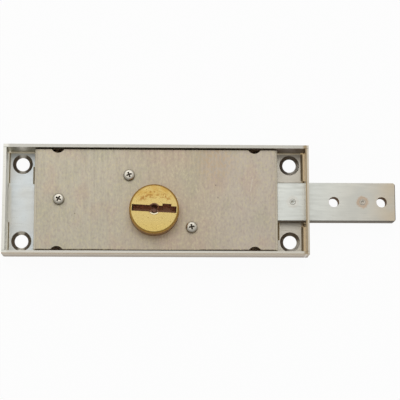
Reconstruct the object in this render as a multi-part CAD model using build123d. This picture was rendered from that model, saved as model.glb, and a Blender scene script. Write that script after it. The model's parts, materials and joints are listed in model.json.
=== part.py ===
from build123d import *
import os
from math import acos, cos, pi, radians, sin, tan

# Roller shutter lock, lying on its back. The bolt is thrown along +X, +Z points out of the open side of
# the case, and the origin is the centre of the four fixing holes on the back face. All sizes are in
# millimetres, and angles in degrees.

# Case: a tray folded from one steel sheet.
CASE_LENGTH = 155.0
CASE_WIDTH = 56.0
CASE_SHEET = 1.6
CASE_BEND = 0.6  # inside radius of the folds
END_WALL_GAP = 0.12  # from an end wall to each long wall beside it
LEFT_SLOT = 0.85  # width of the relief slots along the left fold
RIGHT_SLOT = 1.3
LEFT_ROOT = 20.0  # width of the strip that carries the left wall
RIGHT_LEG = 1.7  # width of each strip that carries the right wall, beside the bolt's window
WINDOW_CLEARANCE = 0.2  # round the bolt, in the case's right wall and the cover's right leg

# Fixing holes, countersunk from inside the case.
FIXING_FROM_END = 8.75
FIXING_FROM_SIDE = 8.0
FIXING_HOLE = 6.9
FIXING_COUNTERSINK = 10.3
FIXING_COUNTERSINK_DEPTH = 1.3

# Cover plate: folded down at both ends, with a tenon on each leg that enters a slot in the floor.
COVER_END_BAY = 14.15  # from each end wall to the cover's leg
COVER_SIDE_GAP = 0.7  # from each long wall to the cover's edge
COVER_SHEET = 1.5
COVER_BEND = 0.2
COVER_RECESS = 2.2  # from the case's front edges down to the cover's face
COVER_FOOT_GAP = 0.05
TENON_LENGTH = 8.0
TENON_MIDDLE = 14.3  # from the centre line to the middle of the tenon
TENON_SLOT_LENGTH = 9.4
TENON_SLOT_REACH = 1.65  # how far the slot runs out past the leg, for hooking the cover in
TENON_CLEARANCE = 0.1
NOTCH_RADIUS = 3.6
NOTCH_DEPTH = 1.8
NOTCH_FROM_END = 11.75

# Cover screws and the posts under them. Two of the posts touch the bolt's long edges and guide it.
LEFT_SCREW_FROM_END = 12.45
UPPER_SCREW_FROM_ROTOR = -12.8
LOWER_SCREW_FROM_ROTOR = 19.0
SCREW_HEAD = 5.9
SCREW_HEAD_HEIGHT = 2.2
SCREW_HEAD_CHAMFER = 0.9
SCREW_THREAD = 2.9
SCREW_LENGTH = 8.5
SCREW_HOLE = 3.4
LEFT_POST = 7.0
UPPER_POST = 4.7
LOWER_POST = 8.2
GUIDE_GAP = 0.08
POST_BORE = 3.0
POST_BORE_FLOOR = 1.8  # solid metal left under the bore, above the case's floor
RIVET = 3.0  # the ends of the posts that are riveted in the floor
RIVET_CLEARANCE = 0.01

# Bolt: a flat bar whose open notch has the rack teeth.
BOLT_WIDTH = 20.0
BOLT_THICKNESS = 6.0
BOLT_REACH = 45.0  # out of the case at rest
BOLT_FLOAT = 0.05  # over the case's floor
BOLT_CORNER = 1.4
BOLT_EDGE = 0.3
TAIL_GAP = 0.2  # behind the bolt's tail, to the left post
ROD_HOLE = 5.3
ROD_HOLE_SPACING = 24.5
ROD_HOLE_FROM_NOSE = 7.1
PUNCH_FROM_NOSE = (16.9, 52.7)
PUNCH_RADIUS = 0.7
PUNCH_DEPTH = 0.5

# Rotor: turned from one brass bar, with the key slot through it.
ROTOR_FROM_END = 60.75  # from the cover's left leg to the axis
ROTOR_Y = -6.0
HEAD_RADIUS = 12.5
HEAD_STAND = 8.5  # over the cover's face
HEAD_CHAMFER = 0.9
HEAD_CLEARANCE = 0.08
FLANGE_LIP = 1.0  # past the head, under the cover
FLANGE_THICKNESS = 1.0
FLANGE_GAP = 0.1
FLANGE_LIFT = 0.05  # over the top tumbler plate
WAIST_STEP = 1.5  # in from the head
DISC_LIFT = 0.05
HUB_LENGTH = 1.3
KEY_SLOT_WIDTH = 3.3
KEY_SLOT_END = 1.3  # metal left past each end of the slot in the head
KEY_SLOT_TURN = -3.0
KEY_PROFILE_START = 4.1  # the broached step on one side of the key slot, from the axis
KEY_PROFILE_END = 8.5
KEY_PROFILE_HEIGHT = 1.1
KEY_HOLE = 4.5
KEY_HOLE_SINK = 0.7  # width of the countersink round the key hole
KEY_HOLE_SINK_DEPTH = 0.35
SLOT_FLOOR = 0.6  # metal left under the key slot

# Centre pin, and the bush in the floor that holds it.
PIN_RADIUS = 1.25
PIN_BELOW_FACE = 4.8
PIN_CLEARANCE = 0.05
BUSH_WALL = 1.15
BUSH_LIP = 0.6
BUSH_FLANGE = 0.4

# Pinion and rack.
GEAR_MODULE = 1.0
PINION_TEETH = 8
SPARE_TEETH = 2  # on the rack, past the pinion's place at each end of the throw
FLANK_STEPS = 3
PRESSURE_ANGLE = 25.0
PINION_ADDENDUM = 0.85 * GEAR_MODULE
RACK_ADDENDUM = 0.7 * GEAR_MODULE
TOOTH_CLEARANCE = 0.2 * GEAR_MODULE  # at the tips
BACKLASH = 0.14
PINION_GAP = 0.08  # over the bush's flange
DOG_WIDTH = 2.2
DOG_HEIGHT = 1.2
DOG_CLEARANCE = 0.04

# Tumbler housing, plates and springs.
HOUSING_FLOOR = 0.6
HOUSING_WALL = 1.4
HOUSING_GAP = 0.1  # over the bolt
BOSS_WALL = 1.7  # round each cover screw
JOURNAL_CLEARANCE = 0.05
PLATE_COUNT = 3
PLATE_THICKNESS = 0.5
PLATE_GAP = 0.1
PLATE_ARM = 2.4
PLATE_CORNER = 1.0
PLATE_TRAVEL = 1.1
PLATE_SIDE_GAP = 0.2
WINDOW_GAP = 0.3
WINDOW_FLATS = 16  # round each end of the plates' window
NIB_WIDTH = 2.0
NIB_GAP = 0.1
BOW_STRIP = 0.3
BOW_HEIGHT = 0.4
BOW_ROOM = 5.9
BOW_CHORD = 16.0
BOW_GAP = 0.05
BOW_FLATS = 6  # along each bow

# Bolt spring: a flat strip on edge, whose hump drops into a notch in the bolt's upper edge.
STRIP_THICKNESS = 0.6
STRIP_HEIGHT = 5.0
DETENT_FROM_ROTOR = 26.0
DETENT_DEPTH = 0.8
DETENT_RADIUS = 2.6
HUMP_RADIUS = 1.6
HUMP_GAP = 0.05
STRIP_SLOPE = 40.0
STRIP_TIP_RUN = 6.0
STRIP_ARM_RUN = 6.4
STRIP_END_GAP = 0.4
SPRING_PIN = 3.0
SPRING_PIN_GAP = 0.05
OUTER_PIN_FROM_WALL = 3.0

# Levels along Z, stacked from the case's floor up to its front edges.
BOLT_BOTTOM = CASE_SHEET + BOLT_FLOAT
BOLT_TOP = BOLT_BOTTOM + BOLT_THICKNESS
WINDOW_TOP = BOLT_TOP + WINDOW_CLEARANCE
HOUSING_BOTTOM = BOLT_TOP + HOUSING_GAP
HOUSING_DECK = HOUSING_BOTTOM + HOUSING_FLOOR
PLATES_TOP = HOUSING_DECK + PLATE_COUNT * (PLATE_THICKNESS + PLATE_GAP)
FLANGE_BOTTOM = PLATES_TOP + FLANGE_LIFT
FLANGE_TOP = FLANGE_BOTTOM + FLANGE_THICKNESS
COVER_UNDER = FLANGE_TOP + FLANGE_GAP
COVER_TOP = COVER_UNDER + COVER_SHEET
COVER_FOOT = CASE_SHEET + COVER_FOOT_GAP
CASE_DEPTH = COVER_TOP + COVER_RECESS
HEAD_TOP = COVER_TOP + HEAD_STAND
PIN_TOP = HEAD_TOP - PIN_BELOW_FACE
DISC_BOTTOM = HOUSING_BOTTOM + DISC_LIFT
SLOT_BOTTOM = DISC_BOTTOM + SLOT_FLOOR
HUB_BOTTOM = DISC_BOTTOM - HUB_LENGTH
PINION_BOTTOM = CASE_SHEET + BUSH_FLANGE + PINION_GAP
PINION_TOP = HUB_BOTTOM - PINION_GAP

# Case and cover in plan.
CASE_HALF = CASE_LENGTH / 2
INNER_X = CASE_HALF - CASE_SHEET
INNER_Y = CASE_WIDTH / 2 - CASE_SHEET
FIXING_X = CASE_HALF - FIXING_FROM_END
FIXING_Y = CASE_WIDTH / 2 - FIXING_FROM_SIDE
LEG_OUTSIDE = INNER_X - COVER_END_BAY
LEG_INSIDE = LEG_OUTSIDE - COVER_SHEET
COVER_HALF_Y = INNER_Y - COVER_SIDE_GAP
NOTCH_X = LEG_OUTSIDE - NOTCH_FROM_END

# Bolt, and the posts beside it.
BOLT_HALF = BOLT_WIDTH / 2
WINDOW_HALF = BOLT_HALF + WINDOW_CLEARANCE
ROTOR_X = ROTOR_FROM_END - LEG_OUTSIDE
SCREW_PLACES = {
    "left": (LEFT_SCREW_FROM_END - LEG_OUTSIDE, 0),
    "upper": (ROTOR_X + UPPER_SCREW_FROM_ROTOR, BOLT_HALF + GUIDE_GAP + UPPER_POST / 2),
    "lower": (ROTOR_X + LOWER_SCREW_FROM_ROTOR, -BOLT_HALF - GUIDE_GAP - LOWER_POST / 2),
}
NOSE_X = CASE_HALF + BOLT_REACH
TAIL_X = SCREW_PLACES["left"][0] + LEFT_POST / 2 + TAIL_GAP
DETENT_X = ROTOR_X + DETENT_FROM_ROTOR

# Pinion and rack.
TOOTH_PITCH = pi * GEAR_MODULE
PITCH_RADIUS = GEAR_MODULE * PINION_TEETH / 2
TIP_RADIUS = PITCH_RADIUS + PINION_ADDENDUM
ROOT_RADIUS = PITCH_RADIUS - RACK_ADDENDUM - TOOTH_CLEARANCE
BOLT_THROW = TOOTH_PITCH * PINION_TEETH  # one full turn of the rotor
RACK_PITCH_Y = ROTOR_Y + PITCH_RADIUS
RACK_ROOT_Y = RACK_PITCH_Y + PINION_ADDENDUM + TOOTH_CLEARANCE
RACK_TIP_Y = RACK_PITCH_Y - RACK_ADDENDUM

# Rotor and bush.
FLANGE_RADIUS = HEAD_RADIUS + FLANGE_LIP
WAIST_RADIUS = HEAD_RADIUS - WAIST_STEP
HUB_RADIUS = ROOT_RADIUS
KEY_SLOT_HALF = HEAD_RADIUS - KEY_SLOT_END
BUSH_RADIUS = PIN_RADIUS + BUSH_WALL

# Tumbler plates, and the cavity that they slide in.
WINDOW_RADIUS = WAIST_RADIUS + WINDOW_GAP
WINDOW_END = WINDOW_RADIUS + PLATE_TRAVEL + NIB_GAP
PLATE_HALF_X = WINDOW_END + PLATE_ARM
PLATE_HALF_Y = WINDOW_RADIUS + PLATE_ARM
CAVITY_LEFT = ROTOR_X - PLATE_HALF_X - BOW_ROOM
CAVITY_RIGHT = ROTOR_X + PLATE_HALF_X + PLATE_TRAVEL + NIB_GAP
CAVITY_HALF_Y = max(PLATE_HALF_Y, FLANGE_RADIUS) + PLATE_SIDE_GAP

# Radii on the centre line of the bolt spring.
STRIP_HUMP = HUMP_RADIUS - STRIP_THICKNESS / 2
STRIP_CURL = (SPRING_PIN + STRIP_THICKNESS) / 2 + SPRING_PIN_GAP


def block(x, y, z):
    """A block between its low and high values along each axis."""
    low, high = zip(x, y, z)
    size = [b - a for a, b in zip(low, high)]
    middle = [(a + b) / 2 for a, b in zip(low, high)]
    return Pos(*middle) * Box(*size)


def rod(place, radius, low, high):
    """An upright cylinder at a place in plan, from one level to another."""
    return Pos(place[0], place[1], (low + high) / 2) * Cylinder(radius, high - low)


def channel_section(width, height, sheet, bend):
    """Section of a folded channel that opens towards +Y, with its back on the X axis."""
    outer = Pos(0, height / 2) * Rectangle(width, height)
    outer = fillet(outer.vertices().sort_by(Axis.Y)[:2], bend + sheet)
    inner = Pos(0, sheet + height / 2) * Rectangle(width - 2 * sheet, height)
    inner = fillet(inner.vertices().sort_by(Axis.Y)[:2], bend)
    return outer - inner


def four_ways(x, y):
    return [(sx * x, sy * y) for sx in (-1, 1) for sy in (-1, 1)]


def end_wall(side, slot, roots):
    """One end wall, folded up from the floor on one or two strips. Its relief slots lie between them and
    the long walls."""
    half = INNER_Y - END_WALL_GAP
    section = channel_section(CASE_LENGTH, CASE_DEPTH, CASE_SHEET, CASE_BEND)
    folded = extrude(Plane.XZ * section, half, both=True)
    floor_end = INNER_X - slot
    wall = folded & block(sorted((side * floor_end, side * CASE_HALF)), (-half, half), (0, CASE_DEPTH))
    slot_x = sorted((side * floor_end, side * INNER_X))
    slot_z = (0, CASE_SHEET + CASE_BEND)
    edges = sorted([-half] + [edge for root in roots for edge in root] + [half])
    for low, high in zip(edges[::2], edges[1::2]):
        wall -= block(slot_x, (low, high), slot_z)
    return wall


def case_tray():
    section = channel_section(CASE_WIDTH, CASE_DEPTH, CASE_SHEET, CASE_BEND)
    tray = extrude(Plane.YZ * section, CASE_HALF, both=True)
    fold_z = (0, CASE_SHEET + CASE_BEND)
    for side, slot in ((-1, LEFT_SLOT), (1, RIGHT_SLOT)):
        end = sorted((side * (INNER_X - slot), side * CASE_HALF))
        tray -= block(end, (-INNER_Y, INNER_Y), fold_z)
    tray += end_wall(-1, LEFT_SLOT, [(-LEFT_ROOT / 2, LEFT_ROOT / 2)])
    leg_out = WINDOW_HALF + RIGHT_LEG
    tray += end_wall(1, RIGHT_SLOT, [(-leg_out, -WINDOW_HALF), (WINDOW_HALF, leg_out)])
    tray -= block((INNER_X - RIGHT_SLOT, CASE_HALF), (-WINDOW_HALF, WINDOW_HALF), (0, WINDOW_TOP))

    sink_middle = CASE_SHEET - FIXING_COUNTERSINK_DEPTH / 2
    for x, y in four_ways(FIXING_X, FIXING_Y):
        tray -= rod((x, y), FIXING_HOLE / 2, 0, CASE_SHEET)
        tray -= Pos(x, y, sink_middle) * Cone(
            FIXING_HOLE / 2, FIXING_COUNTERSINK / 2, FIXING_COUNTERSINK_DEPTH
        )
    for place in SCREW_PLACES.values():
        tray -= rod(place, RIVET / 2, 0, CASE_SHEET)
    for place in spring_pin_places():
        tray -= rod(place, SPRING_PIN / 2, 0, CASE_SHEET)
    tray -= rod((ROTOR_X, ROTOR_Y), BUSH_RADIUS, 0, CASE_SHEET)
    for side in (-1, 1):
        slot_x = sorted((side * (LEG_INSIDE - TENON_CLEARANCE), side * (LEG_OUTSIDE + TENON_SLOT_REACH)))
        middle = -side * TENON_MIDDLE
        slot_y = (middle - TENON_SLOT_LENGTH / 2, middle + TENON_SLOT_LENGTH / 2)
        tray -= block(slot_x, slot_y, (0, CASE_SHEET))
    return tray


def cover_plate():
    section = channel_section(2 * LEG_OUTSIDE, COVER_TOP, COVER_SHEET, COVER_BEND)
    face_down = Plane(origin=(0, 0, COVER_TOP), x_dir=(1, 0, 0), z_dir=(0, 1, 0))
    cover = extrude(face_down * section, COVER_HALF_Y, both=True)

    # Below the foot only the tenons stay, one on each leg.
    for side in (-1, 1):
        leg_x = sorted((side * LEG_INSIDE, side * LEG_OUTSIDE))
        middle = -side * TENON_MIDDLE
        cover -= block(leg_x, (-COVER_HALF_Y, middle - TENON_LENGTH / 2), (0, COVER_FOOT))
        cover -= block(leg_x, (middle + TENON_LENGTH / 2, COVER_HALF_Y), (0, COVER_FOOT))
    cover -= block((LEG_INSIDE, LEG_OUTSIDE), (-WINDOW_HALF, WINDOW_HALF), (0, WINDOW_TOP))

    cover -= rod((ROTOR_X, ROTOR_Y), HEAD_RADIUS + HEAD_CLEARANCE, COVER_UNDER, COVER_TOP)
    for place in SCREW_PLACES.values():
        cover -= rod(place, SCREW_HOLE / 2, COVER_UNDER, COVER_TOP)
    for place in four_ways(NOTCH_X, COVER_HALF_Y + NOTCH_RADIUS - NOTCH_DEPTH):
        cover -= rod(place, NOTCH_RADIUS, COVER_UNDER, COVER_TOP)
    return cover


def cover_screw(name):
    place = SCREW_PLACES[name]
    head = rod((0, 0), SCREW_HEAD / 2, 0, SCREW_HEAD_HEIGHT)
    head = chamfer(head.edges().sort_by(Axis.Z)[-1], SCREW_HEAD_CHAMFER)
    screw = head + rod((0, 0), SCREW_THREAD / 2, -SCREW_LENGTH, 0)
    return Pos(place[0], place[1], COVER_TOP) * screw


def screw_post(name, diameter, top):
    """A turned post that stands on the floor, with its thinner end riveted through it."""
    place = SCREW_PLACES[name]
    post = rod(place, diameter / 2, CASE_SHEET, top)
    post += rod(place, RIVET / 2 - RIVET_CLEARANCE, 0, CASE_SHEET)
    return post - rod(place, POST_BORE / 2, CASE_SHEET + POST_BORE_FLOOR, top)


def rack_tooth(x):
    """Section of one rack tooth, which points towards -Y."""
    slope = tan(radians(PRESSURE_ANGLE))
    half_pitch_line = TOOTH_PITCH / 4 - BACKLASH / 4
    half_root = half_pitch_line + slope * (RACK_ROOT_Y - RACK_PITCH_Y)
    half_tip = half_pitch_line - slope * RACK_ADDENDUM
    corners = [
        (x - half_root, RACK_ROOT_Y),
        (x - half_tip, RACK_TIP_Y),
        (x + half_tip, RACK_TIP_Y),
        (x + half_root, RACK_ROOT_Y),
    ]
    return make_face(Polyline(corners, close=True))


def bolt_bar():
    outline = Pos((TAIL_X + NOSE_X) / 2, 0) * Rectangle(NOSE_X - TAIL_X, BOLT_WIDTH)
    outline = fillet(outline.vertices().sort_by(Axis.X)[-2:], BOLT_CORNER)
    bolt = extrude(Pos(0, 0, BOLT_BOTTOM) * outline, BOLT_THICKNESS)
    rims = bolt.edges().group_by(Axis.Z)
    bolt = chamfer(rims[0] + rims[-1], BOLT_EDGE)

    # The notch is open at the bar's lower edge, with the rack along its upper side.
    spare = SPARE_TEETH * TOOTH_PITCH
    notch_x = (ROTOR_X - BOLT_THROW - spare, ROTOR_X + spare)
    notch = Pos(sum(notch_x) / 2, (RACK_ROOT_Y - BOLT_HALF) / 2) * Rectangle(
        notch_x[1] - notch_x[0], RACK_ROOT_Y + BOLT_HALF
    )
    for count in range(PINION_TEETH + 2 * SPARE_TEETH):
        notch -= rack_tooth(notch_x[0] + (count + 0.5) * TOOTH_PITCH)
    bolt -= extrude(Pos(0, 0, BOLT_BOTTOM) * notch, BOLT_THICKNESS)

    detent_y = BOLT_HALF - DETENT_DEPTH + DETENT_RADIUS
    for x in (DETENT_X, DETENT_X - BOLT_THROW):
        bolt -= rod((x, detent_y), DETENT_RADIUS, BOLT_BOTTOM, BOLT_TOP)
    for x in rod_hole_places():
        bolt -= rod((x, 0), ROD_HOLE / 2, BOLT_BOTTOM, BOLT_TOP)
    for from_nose in PUNCH_FROM_NOSE:
        bolt -= Pos(NOSE_X - from_nose, 0, BOLT_TOP - PUNCH_DEPTH / 2) * Cone(
            0, PUNCH_RADIUS, PUNCH_DEPTH
        )
    return bolt


def rod_hole_places():
    outer = NOSE_X - ROD_HOLE_FROM_NOSE
    return [outer - ROD_HOLE_SPACING, outer]


def rotor():
    body = rod((0, 0), HEAD_RADIUS, FLANGE_TOP, HEAD_TOP)
    body = chamfer(body.edges().sort_by(Axis.Z)[-1], HEAD_CHAMFER)
    body += rod((0, 0), FLANGE_RADIUS, FLANGE_BOTTOM, FLANGE_TOP)
    body += rod((0, 0), WAIST_RADIUS, DISC_BOTTOM, FLANGE_BOTTOM)
    body += rod((0, 0), HUB_RADIUS, HUB_BOTTOM, DISC_BOTTOM)

    half_width = KEY_SLOT_WIDTH / 2
    slot = block((-KEY_SLOT_HALF, KEY_SLOT_HALF), (-half_width, half_width), (SLOT_BOTTOM, HEAD_TOP))
    slot += block(
        (KEY_PROFILE_START, KEY_PROFILE_END),
        (0, half_width + KEY_PROFILE_HEIGHT),
        (SLOT_BOTTOM, HEAD_TOP),
    )
    body -= Rot(0, 0, KEY_SLOT_TURN) * slot
    body -= rod((0, 0), KEY_HOLE / 2, SLOT_BOTTOM, HEAD_TOP)
    body -= Pos(0, 0, HEAD_TOP - KEY_HOLE_SINK_DEPTH / 2) * Cone(
        KEY_HOLE / 2, KEY_HOLE / 2 + KEY_HOLE_SINK, KEY_HOLE_SINK_DEPTH
    )
    body -= rod((0, 0), PIN_RADIUS + PIN_CLEARANCE, HUB_BOTTOM, SLOT_BOTTOM)
    groove_half = DOG_WIDTH / 2 + DOG_CLEARANCE
    body -= block(
        (-HUB_RADIUS, HUB_RADIUS),
        (-groove_half, groove_half),
        (HUB_BOTTOM, HUB_BOTTOM + DOG_HEIGHT),
    )
    return Pos(ROTOR_X, ROTOR_Y, 0) * body


def involute(angle):
    return tan(angle) - angle


def pinion_tooth():
    """Section of one pinion tooth, which points towards +Y, with involute flanks drawn as short flats."""
    pressure = radians(PRESSURE_ANGLE)
    base_radius = PITCH_RADIUS * cos(pressure)
    half_at_pitch = (pi / 2 - BACKLASH / (2 * GEAR_MODULE)) / PINION_TEETH

    def flank_point(radius, side):
        half = half_at_pitch + involute(pressure) - involute(acos(base_radius / radius))
        return (side * radius * sin(half), radius * cos(half))

    rise = (TIP_RADIUS - base_radius) / FLANK_STEPS
    steps = [base_radius + rise * step for step in range(FLANK_STEPS + 1)]
    right = [flank_point(radius, 1) for radius in steps]
    left = [flank_point(radius, -1) for radius in steps]
    inside = (ROOT_RADIUS - TOOTH_CLEARANCE) / base_radius
    foot_right = (right[0][0] * inside, right[0][1] * inside)
    foot_left = (left[0][0] * inside, left[0][1] * inside)
    return make_face(Polyline([foot_right] + right + left[::-1] + [foot_left], close=True))


def drive_pinion():
    section = Circle(ROOT_RADIUS)
    for tooth in range(PINION_TEETH):
        section += Rot(0, 0, 360 * tooth / PINION_TEETH) * pinion_tooth()
    gear = extrude(Pos(0, 0, PINION_BOTTOM) * section, PINION_TOP - PINION_BOTTOM)
    dogs = rod((0, 0), HUB_RADIUS - DOG_CLEARANCE, PINION_TOP, HUB_BOTTOM + DOG_HEIGHT - DOG_CLEARANCE)
    dogs &= block((-HUB_RADIUS, HUB_RADIUS), (-DOG_WIDTH / 2, DOG_WIDTH / 2), (PINION_TOP, HEAD_TOP))
    gear += dogs
    gear -= rod((0, 0), PIN_RADIUS + PIN_CLEARANCE, PINION_BOTTOM, HUB_BOTTOM + DOG_HEIGHT)
    return Pos(ROTOR_X, ROTOR_Y, 0) * gear


def centre_pin():
    return rod((ROTOR_X, ROTOR_Y), PIN_RADIUS, 0, PIN_TOP)


def tail_bush():
    place = (ROTOR_X, ROTOR_Y)
    bush = rod(place, BUSH_RADIUS - RIVET_CLEARANCE, 0, CASE_SHEET)
    bush += rod(place, BUSH_RADIUS + BUSH_LIP, CASE_SHEET, CASE_SHEET + BUSH_FLANGE)
    return bush - rod(place, PIN_RADIUS + RIVET_CLEARANCE, 0, CASE_SHEET + BUSH_FLANGE)


def tumbler_housing():
    """A cast frame between the bolt and the cover. Two of the cover's screws clamp it on their posts."""
    wall_y = CAVITY_HALF_Y + HOUSING_WALL
    z = (HOUSING_BOTTOM, COVER_UNDER)
    wall_x = (CAVITY_LEFT - HOUSING_WALL, CAVITY_RIGHT + HOUSING_WALL)
    housing = block(wall_x, (ROTOR_Y - wall_y, ROTOR_Y + wall_y), z)
    housing = chamfer(housing.edges().filter_by(Axis.Z), HOUSING_WALL)
    boss = SCREW_HOLE / 2 + BOSS_WALL
    boss_x, boss_y = SCREW_PLACES["upper"]
    housing += rod((boss_x, boss_y), boss, *z)
    housing += block((boss_x - boss, boss_x + boss), (ROTOR_Y + CAVITY_HALF_Y, boss_y), z)
    boss_x, boss_y = SCREW_PLACES["lower"]
    housing += rod((boss_x, boss_y), boss, *z)
    housing += block((CAVITY_RIGHT, boss_x), (boss_y - boss, boss_y + boss), z)
    housing -= block(
        (CAVITY_LEFT, CAVITY_RIGHT),
        (ROTOR_Y - CAVITY_HALF_Y, ROTOR_Y + CAVITY_HALF_Y),
        (HOUSING_DECK, COVER_UNDER),
    )
    housing -= rod((ROTOR_X, ROTOR_Y), WAIST_RADIUS + JOURNAL_CLEARANCE, HOUSING_BOTTOM, HOUSING_DECK)
    for name in ("upper", "lower"):
        housing -= rod(SCREW_PLACES[name], SCREW_HOLE / 2, *z)
    return housing


def plate_level(count):
    """Underside of one tumbler plate, counted from the bottom of the stack."""
    return HOUSING_DECK + PLATE_GAP + count * (PLATE_THICKNESS + PLATE_GAP)


def tumbler_plate(count):
    """A plate whose window leaves room for the rotor's waist, with a nib at each end of the key slot."""
    plate = Rectangle(2 * PLATE_HALF_X, 2 * PLATE_HALF_Y)
    plate = chamfer(plate.vertices(), PLATE_CORNER)
    offset = WINDOW_END - WINDOW_RADIUS
    window_end = Rot(0, 0, 180 / WINDOW_FLATS) * RegularPolygon(
        WINDOW_RADIUS, WINDOW_FLATS, major_radius=False
    )
    plate -= Pos(-offset, 0) * window_end + Pos(offset, 0) * window_end
    plate -= Rectangle(2 * offset, 2 * WINDOW_RADIUS)
    nib_tip = WAIST_RADIUS + NIB_GAP
    nib_middle = (nib_tip + WINDOW_END + NIB_GAP) / 2
    nib = Rectangle(WINDOW_END + NIB_GAP - nib_tip, NIB_WIDTH)
    for side in (-1, 1):
        plate += Pos(side * nib_middle, side * nib_middle * tan(radians(KEY_SLOT_TURN))) * nib
    return extrude(Pos(ROTOR_X, ROTOR_Y, plate_level(count)) * plate, PLATE_THICKNESS)


def tumbler_spring(count):
    """A bow of flat steel in the plane of its plate: its ends rest on the plate and its middle on the
    housing."""
    seat = BOW_STRIP / 2 + BOW_GAP
    end_x = ROTOR_X - PLATE_HALF_X - seat
    middle_x = CAVITY_LEFT + seat
    half = BOW_CHORD / 2
    arc = ThreePointArc((end_x, ROTOR_Y - half), (middle_x, ROTOR_Y), (end_x, ROTOR_Y + half))
    bow = Polyline([arc @ (step / BOW_FLATS) for step in range(BOW_FLATS + 1)])
    level = plate_level(count) + (PLATE_THICKNESS - BOW_HEIGHT) / 2
    return extrude(Pos(0, 0, level) * trace(bow, BOW_STRIP), BOW_HEIGHT)


def strip_corners():
    """The free tip, the bend under the hump and the far end of the sprung arm, on the centre line."""
    slope = tan(radians(STRIP_SLOPE))
    lowest = BOLT_HALF - DETENT_DEPTH + HUMP_GAP + STRIP_THICKNESS / 2
    bend_y = lowest - STRIP_HUMP * (1 / cos(radians(STRIP_SLOPE)) - 1)
    tip = (DETENT_X + STRIP_TIP_RUN, bend_y + STRIP_TIP_RUN * slope)
    arm_end = (DETENT_X - STRIP_ARM_RUN, bend_y + STRIP_ARM_RUN * slope)
    return tip, (DETENT_X, bend_y), arm_end


def strip_route():
    """Centre line of the bolt spring from its free tip, over the hump and round the inner pin."""
    hump = FilletPolyline(*strip_corners(), radius=STRIP_HUMP)
    curl = JernArc(hump @ 1, hump % 1, STRIP_CURL, STRIP_SLOPE - 90)
    tail_end = ((curl @ 1).X, INNER_Y - STRIP_END_GAP)
    return Curve() + [hump, curl, Line(curl @ 1, tail_end)]


def spring_pin_places():
    arm_x, arm_y = strip_corners()[-1]
    slope = radians(STRIP_SLOPE)
    inner = (arm_x + STRIP_CURL * sin(slope), arm_y + STRIP_CURL * cos(slope))
    return [inner, (inner[0] - 2 * STRIP_CURL, INNER_Y - OUTER_PIN_FROM_WALL)]


def bolt_spring():
    strip = trace(strip_route(), STRIP_THICKNESS)
    level = (BOLT_BOTTOM + BOLT_TOP - STRIP_HEIGHT) / 2
    return extrude(Pos(0, 0, level) * strip, STRIP_HEIGHT)


def spring_pins():
    radius = SPRING_PIN / 2 - RIVET_CLEARANCE
    return [rod(place, radius, 0, BOLT_TOP) for place in spring_pin_places()]


nodes = {
    "case_tray": case_tray(),
    "cover_plate": cover_plate(),
    "left_post": screw_post("left", LEFT_POST, COVER_UNDER),
    "upper_guide_post": screw_post("upper", UPPER_POST, HOUSING_BOTTOM),
    "lower_guide_post": screw_post("lower", LOWER_POST, HOUSING_BOTTOM),
    "bolt_bar": bolt_bar(),
    "rotor": rotor(),
    "drive_pinion": drive_pinion(),
    "centre_pin": centre_pin(),
    "tail_bush": tail_bush(),
    "tumbler_housing": tumbler_housing(),
    "bolt_spring": bolt_spring(),
    "spring_pins": Compound(children=spring_pins()),
}
for name in SCREW_PLACES:
    nodes[f"cover_screw_{name}"] = cover_screw(name)
for count in range(PLATE_COUNT):
    nodes[f"tumbler_plate_{count + 1}"] = tumbler_plate(count)
    nodes[f"tumbler_spring_{count + 1}"] = tumbler_spring(count)

os.makedirs("parts", exist_ok=True)
for name, solid in nodes.items():
    export_step(solid, f"parts/{name}.step")
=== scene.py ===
import json
from math import pi, radians

import bpy
from mathutils import Matrix, Vector


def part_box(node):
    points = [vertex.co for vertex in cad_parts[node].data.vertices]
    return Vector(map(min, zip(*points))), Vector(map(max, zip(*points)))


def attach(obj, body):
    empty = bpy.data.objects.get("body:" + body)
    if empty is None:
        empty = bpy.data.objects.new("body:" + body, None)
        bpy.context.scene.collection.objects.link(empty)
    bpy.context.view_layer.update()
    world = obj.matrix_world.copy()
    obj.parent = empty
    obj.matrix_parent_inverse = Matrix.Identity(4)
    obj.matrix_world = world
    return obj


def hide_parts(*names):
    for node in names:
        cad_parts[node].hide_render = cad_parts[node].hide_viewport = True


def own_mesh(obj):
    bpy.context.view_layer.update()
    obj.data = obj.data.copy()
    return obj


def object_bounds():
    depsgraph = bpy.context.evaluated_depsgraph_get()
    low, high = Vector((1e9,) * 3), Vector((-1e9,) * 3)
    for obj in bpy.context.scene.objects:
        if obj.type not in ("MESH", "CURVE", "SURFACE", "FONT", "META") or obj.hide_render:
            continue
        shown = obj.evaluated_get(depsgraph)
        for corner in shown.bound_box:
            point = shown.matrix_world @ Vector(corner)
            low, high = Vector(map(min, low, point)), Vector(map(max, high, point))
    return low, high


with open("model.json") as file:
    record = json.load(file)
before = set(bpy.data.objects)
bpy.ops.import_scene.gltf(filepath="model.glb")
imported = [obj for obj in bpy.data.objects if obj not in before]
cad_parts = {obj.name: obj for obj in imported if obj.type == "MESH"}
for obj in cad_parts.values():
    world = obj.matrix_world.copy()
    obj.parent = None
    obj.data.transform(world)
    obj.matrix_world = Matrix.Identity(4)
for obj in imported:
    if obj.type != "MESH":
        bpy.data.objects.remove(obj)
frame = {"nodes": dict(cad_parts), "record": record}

cad_low, cad_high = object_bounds()

# Case tray.
# The real one is 1.6 mm steel sheet, stamped out, folded up on four sides and zinc plated. It carries
# everything else: posts, pins and the bush are riveted in its floor, and four screws hold it to the shutter.


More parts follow.
